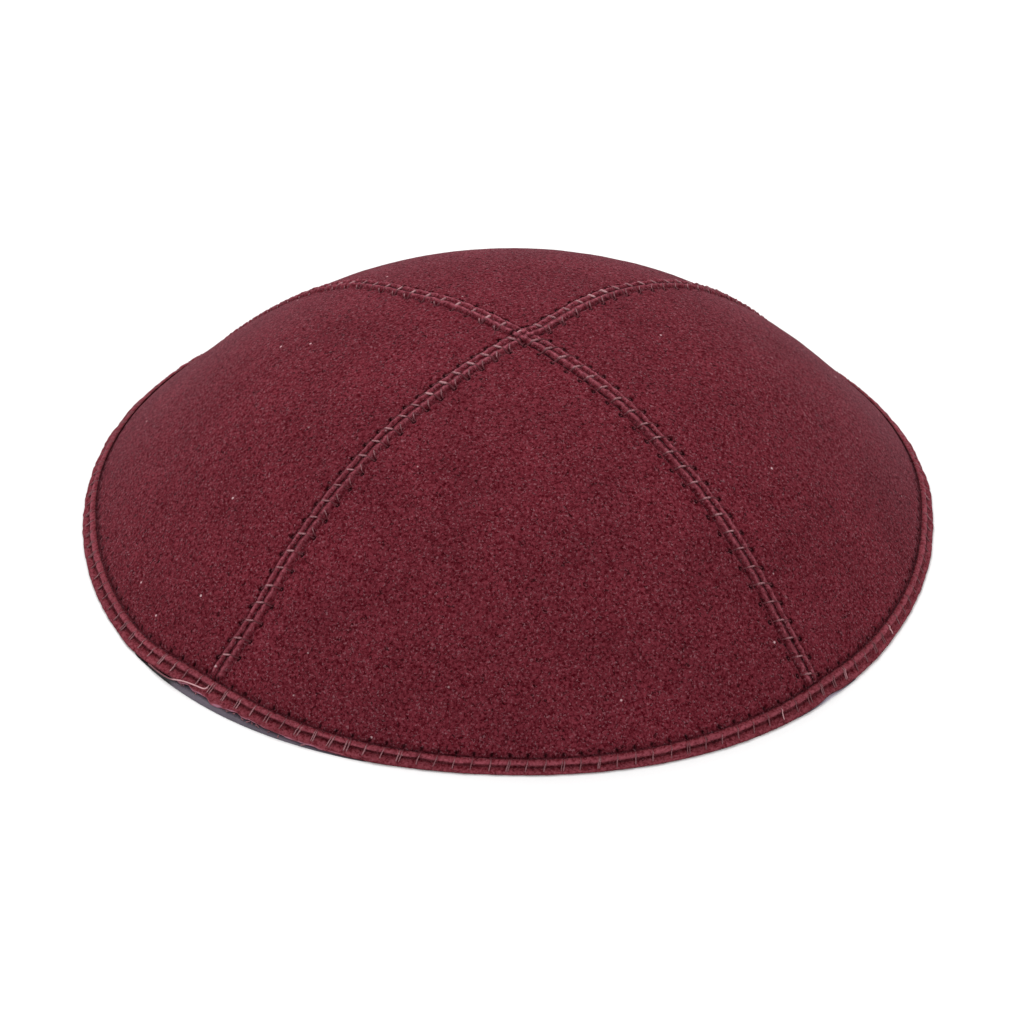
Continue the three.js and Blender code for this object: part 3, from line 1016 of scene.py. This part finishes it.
class Nodes:
    """A short way to build a material's nodes."""

    def __init__(self, name):
        self.material = bpy.data.materials.new(name)
        self.material.use_nodes = True
        self.tree = self.material.node_tree
        self.shader = self.tree.nodes["Principled BSDF"]
        self.coordinates = self.tree.nodes.new("ShaderNodeTexCoord").outputs["Object"]

    def add(self, kind, inputs, **settings):
        node = self.tree.nodes.new(kind)
        for key, value in settings.items():
            setattr(node, key, value)
        for key, value in inputs.items():
            if isinstance(value, bpy.types.NodeSocket):
                self.tree.links.new(value, node.inputs[key])
            else:
                node.inputs[key].default_value = value
        return node

    def noise(self, feature_mm, detail=2.0, roughness=0.5, distortion=0.0):
        """Noise whose features are about that many millimetres across."""
        inputs = {"Vector": self.coordinates, "Scale": 1 / (feature_mm * MM)}
        inputs.update({"Detail": detail, "Roughness": roughness, "Distortion": distortion})
        return self.add("ShaderNodeTexNoise", inputs).outputs["Fac"]

    def range(self, value, low, high, to_low=0.0, to_high=1.0):
        inputs = {"Value": value, "From Min": low, "From Max": high}
        inputs.update({"To Min": to_low, "To Max": to_high})
        return self.add("ShaderNodeMapRange", inputs).outputs["Result"]

    def math(self, operation, first, second):
        return self.add("ShaderNodeMath", {0: first, 1: second}, operation=operation).outputs[0]

    def mix(self, factor, first, second):
        inputs = {0: factor, 6: first, 7: second}
        return self.add("ShaderNodeMix", inputs, data_type="RGBA").outputs[2]

    def attribute(self, name):
        return self.add("ShaderNodeAttribute", {}, attribute_name=name).outputs["Fac"]

    def set(self, **values):
        for key, value in values.items():
            self.shader.inputs[key.replace("_", " ")].default_value = value

    def link(self, socket, value):
        self.tree.links.new(value, self.shader.inputs[socket])

    def bump(self, height, distance_mm, strength=1.0):
        inputs = {"Height": height, "Distance": distance_mm * MM, "Strength": strength}
        return self.add("ShaderNodeBump", inputs).outputs["Normal"]


def dust(n):
    """Sparse pale specks, as a mask."""
    inputs = {"Vector": n.coordinates, "Scale": 1 / (DUST["cell"] * MM)}
    cells = n.add("ShaderNodeTexVoronoi", inputs)
    colour = n.add("ShaderNodeSeparateColor", {"Color": cells.outputs["Color"]})
    picked = n.range(colour.outputs["Red"], *DUST["picked"])
    return n.math("MULTIPLY", picked, n.range(cells.outputs["Distance"], *DUST["radius"]))


def suede_material(name, tones):
    """Napped suede: a fine mottle, dark pits, pale fibres, dust, a pale frayed edge, painted
    highlight on crests and painted shade in crevices.
    """
    n = Nodes(name)
    nap, pits, fibres, cloud = (n.noise(*grain) for grain in SUEDE_GRAIN)
    tone = n.mix(n.range(nap, *NAP_SPREAD), tones["dark"], tones["light"])
    tone = n.mix(n.range(pits, 0.38, 0.29, 0.0, 0.8), tone, tones["pit"])
    tone = n.mix(n.range(fibres, 0.58, 0.68, 0.0, 0.6), tone, tones["fibre"])
    # Painted highlight on the crests, varied by the nap, and the pale frayed edge
    highlight_and_fray = n.attribute("highlight_and_fray")
    by_nap = n.range(nap, *NAP_SPREAD, 0.3, 0.95)
    highlight_and_fray_share = n.math("MULTIPLY", n.range(highlight_and_fray, 0.0, 1.0), by_nap)
    tone = n.mix(highlight_and_fray_share, tone, tones["highlight_and_fray"])
    tone = n.mix(n.range(highlight_and_fray, 1.0, 2.0, 0.0, 0.85), tone, RUBBED_EDGE_TONE)
    tone = n.mix(dust(n), tone, DUST_TONE)
    # Painted shade in the crevices, times a random mottle in the suede's own tone
    shade_in_crevices = n.range(n.attribute("painted_shade"), 0.0, 1.0, 1.0, CREVICE_SHADE)
    shade = n.math("MULTIPLY", n.range(cloud, *CLOUD_SPREAD, 0.9, 1.1), shade_in_crevices)
    scaled = n.add("ShaderNodeVectorMath", {0: tone, "Scale": shade}, operation="SCALE")
    n.link("Base Color", scaled.outputs[0])
    n.link("Roughness", n.range(nap, *NAP_SPREAD, 0.98, 0.88))
    depth = n.math("MULTIPLY", n.range(pits, 0.42, 0.28, 0.0, -1.0), 0.8)
    height = n.math("ADD", n.math("ADD", nap, depth), n.math("MULTIPLY", fibres, 0.35))
    n.link("Normal", n.bump(height, 0.2, 0.75))
    n.set(Sheen_Weight=0.09, Sheen_Roughness=0.3, Sheen_Tint=(1.0, 0.6, 0.75, 1))
    n.set(Specular_IOR_Level=0.03)
    return n.material


def thread_material():
    """Dusty pink sewing thread, with a painted highlight along its pale length and painted shade,
    as dark as the suede, on its ends where it sinks in.
    """
    n = Nodes("rose_thread")
    ply = n.noise(0.22, 2.0, 0.5)
    pale = n.attribute("pale")
    tone = n.mix(n.range(ply, 0.35, 0.65), THREAD_TONES["dark"], THREAD_TONES["light"])
    # Painted shade where the thread sinks, and painted highlight where it is paler than 1
    tone = n.mix(n.range(pale, 0.0, 1.0, 1.0, 0.0), tone, THREAD_TONES["sunk_shade"])
    tone = n.mix(n.range(pale, 1.0, 2.0), tone, THREAD_TONES["bright"])
    n.link("Base Color", tone)
    n.link("Normal", n.bump(ply, 0.06, 0.6))
    n.set(Roughness=0.6, Specular_IOR_Level=0.2)
    return n.material


def satin_material():
    n = Nodes("grey_purple_satin")
    cloud = n.noise(9.0, 3.0, 0.5)
    inputs = {"Vector": n.coordinates, "Scale": 1900.0, "Distortion": 1.2}
    inputs.update({"Detail": 2.0, "Detail Scale": 1.5})
    bands = {"wave_type": "BANDS", "bands_direction": "DIAGONAL"}
    weave = n.add("ShaderNodeTexWave", inputs, **bands).outputs["Fac"]
    tone = n.mix(n.range(cloud, *CLOUD_SPREAD), SATIN_TONES["dark"], SATIN_TONES["light"])
    tone = n.mix(n.range(weave, 0.0, 1.0, 0.0, 0.2), tone, SATIN_TONES["weave"])
    tone = n.mix(n.range(n.attribute("shadow"), 0.0, 1.0), tone, SATIN_TONES["shadow"])
    n.link("Base Color", n.mix(n.attribute("gleam"), tone, SATIN_TONES["gleam"]))
    n.link("Normal", n.bump(weave, 0.05, 0.5))
    n.link("Roughness", n.range(cloud, *CLOUD_SPREAD, 0.36, 0.5))
    n.set(Specular_IOR_Level=0.35)
    return n.material


def dress(piece, material):
    piece.data.materials.clear()
    piece.data.materials.append(material)


# The setting: floor, light and camera

def floor():
    mesh = bpy.data.meshes.new("floor")
    corners = [(x * FLOOR_HALF, y * FLOOR_HALF, 0) for x, y in ((-1, -1), (1, -1), (1, 1), (-1, 1))]
    mesh.from_pydata(corners, [], [(0, 1, 2, 3)])
    plane = added("floor", mesh)
    n = Nodes("pale_floor")
    n.set(Base_Color=(0.9, 0.9, 0.9, 1), Roughness=0.9, Specular_IOR_Level=0.1)
    mesh.materials.append(n.material)


def area_light(name, size, power, place):
    """A round light that points at the middle of the floor."""
    light = bpy.data.lights.new(name, "AREA")
    light.shape = "DISK"
    light.size = size
    light.energy = power
    lamp = added(name, light)
    lamp.location = place
    lamp.rotation_euler = (-Vector(place)).to_track_quat("-Z", "Y").to_euler()


def lights():
    world = bpy.data.worlds.new("soft_studio")
    world.use_nodes = True
    background = world.node_tree.nodes["Background"]
    background.inputs["Color"].default_value = (1, 1, 1, 1)
    background.inputs["Strength"].default_value = WORLD_STRENGTH
    bpy.context.scene.world = world
    for light in AREA_LIGHTS:
        area_light(**light)
    bpy.context.scene.view_settings.view_transform = "Standard"
    bpy.context.scene.view_settings.look = "None"


def camera():
    """A long lens, 35 degrees above the rim's plane, as in the photograph."""
    elevation = math.radians(CAMERA_ELEVATION)
    roll = math.radians(CAMERA_ROLL)
    turn = Matrix.Rotation(math.radians(CAMERA_AZIMUTH), 3, "Z")
    right = turn @ Vector((1, 0, 0))
    up = turn @ Vector((0, math.sin(elevation), math.cos(elevation)))
    forward = turn @ Vector((0, math.cos(elevation), -math.sin(elevation)))
    rolled_right = math.cos(roll) * right + math.sin(roll) * up
    rolled_up = -math.sin(roll) * right + math.cos(roll) * up
    target = turn @ Vector(CAMERA_TARGET) + Vector(CAP_CENTRE)
    place = (target - forward * CAMERA_DISTANCE) * MM
    data = bpy.data.cameras.new("photo_camera")
    data.sensor_width = SENSOR_WIDTH
    data.lens = CAMERA_LENS
    data.clip_start = 0.01
    eye = added("photo_camera", data)
    axes = Matrix((rolled_right, rolled_up, -forward)).transposed()
    eye.matrix_world = Matrix.Translation(place) @ axes.to_4x4()
    bpy.context.scene.camera = eye


camera()
lights()
floor()

suede = suede_material("burgundy_suede", PANEL_TONES)
rim_suede = suede_material("rim_suede", RIM_TONES)
thread = thread_material()
for side in PANEL_STARTS:
    dress(panel_piece(side), suede)
dress(binding_piece(), rim_suede)
dress(seam_thread_piece(), thread)
dress(rim_thread_piece(), thread)
dress(lining_piece(), satin_material())
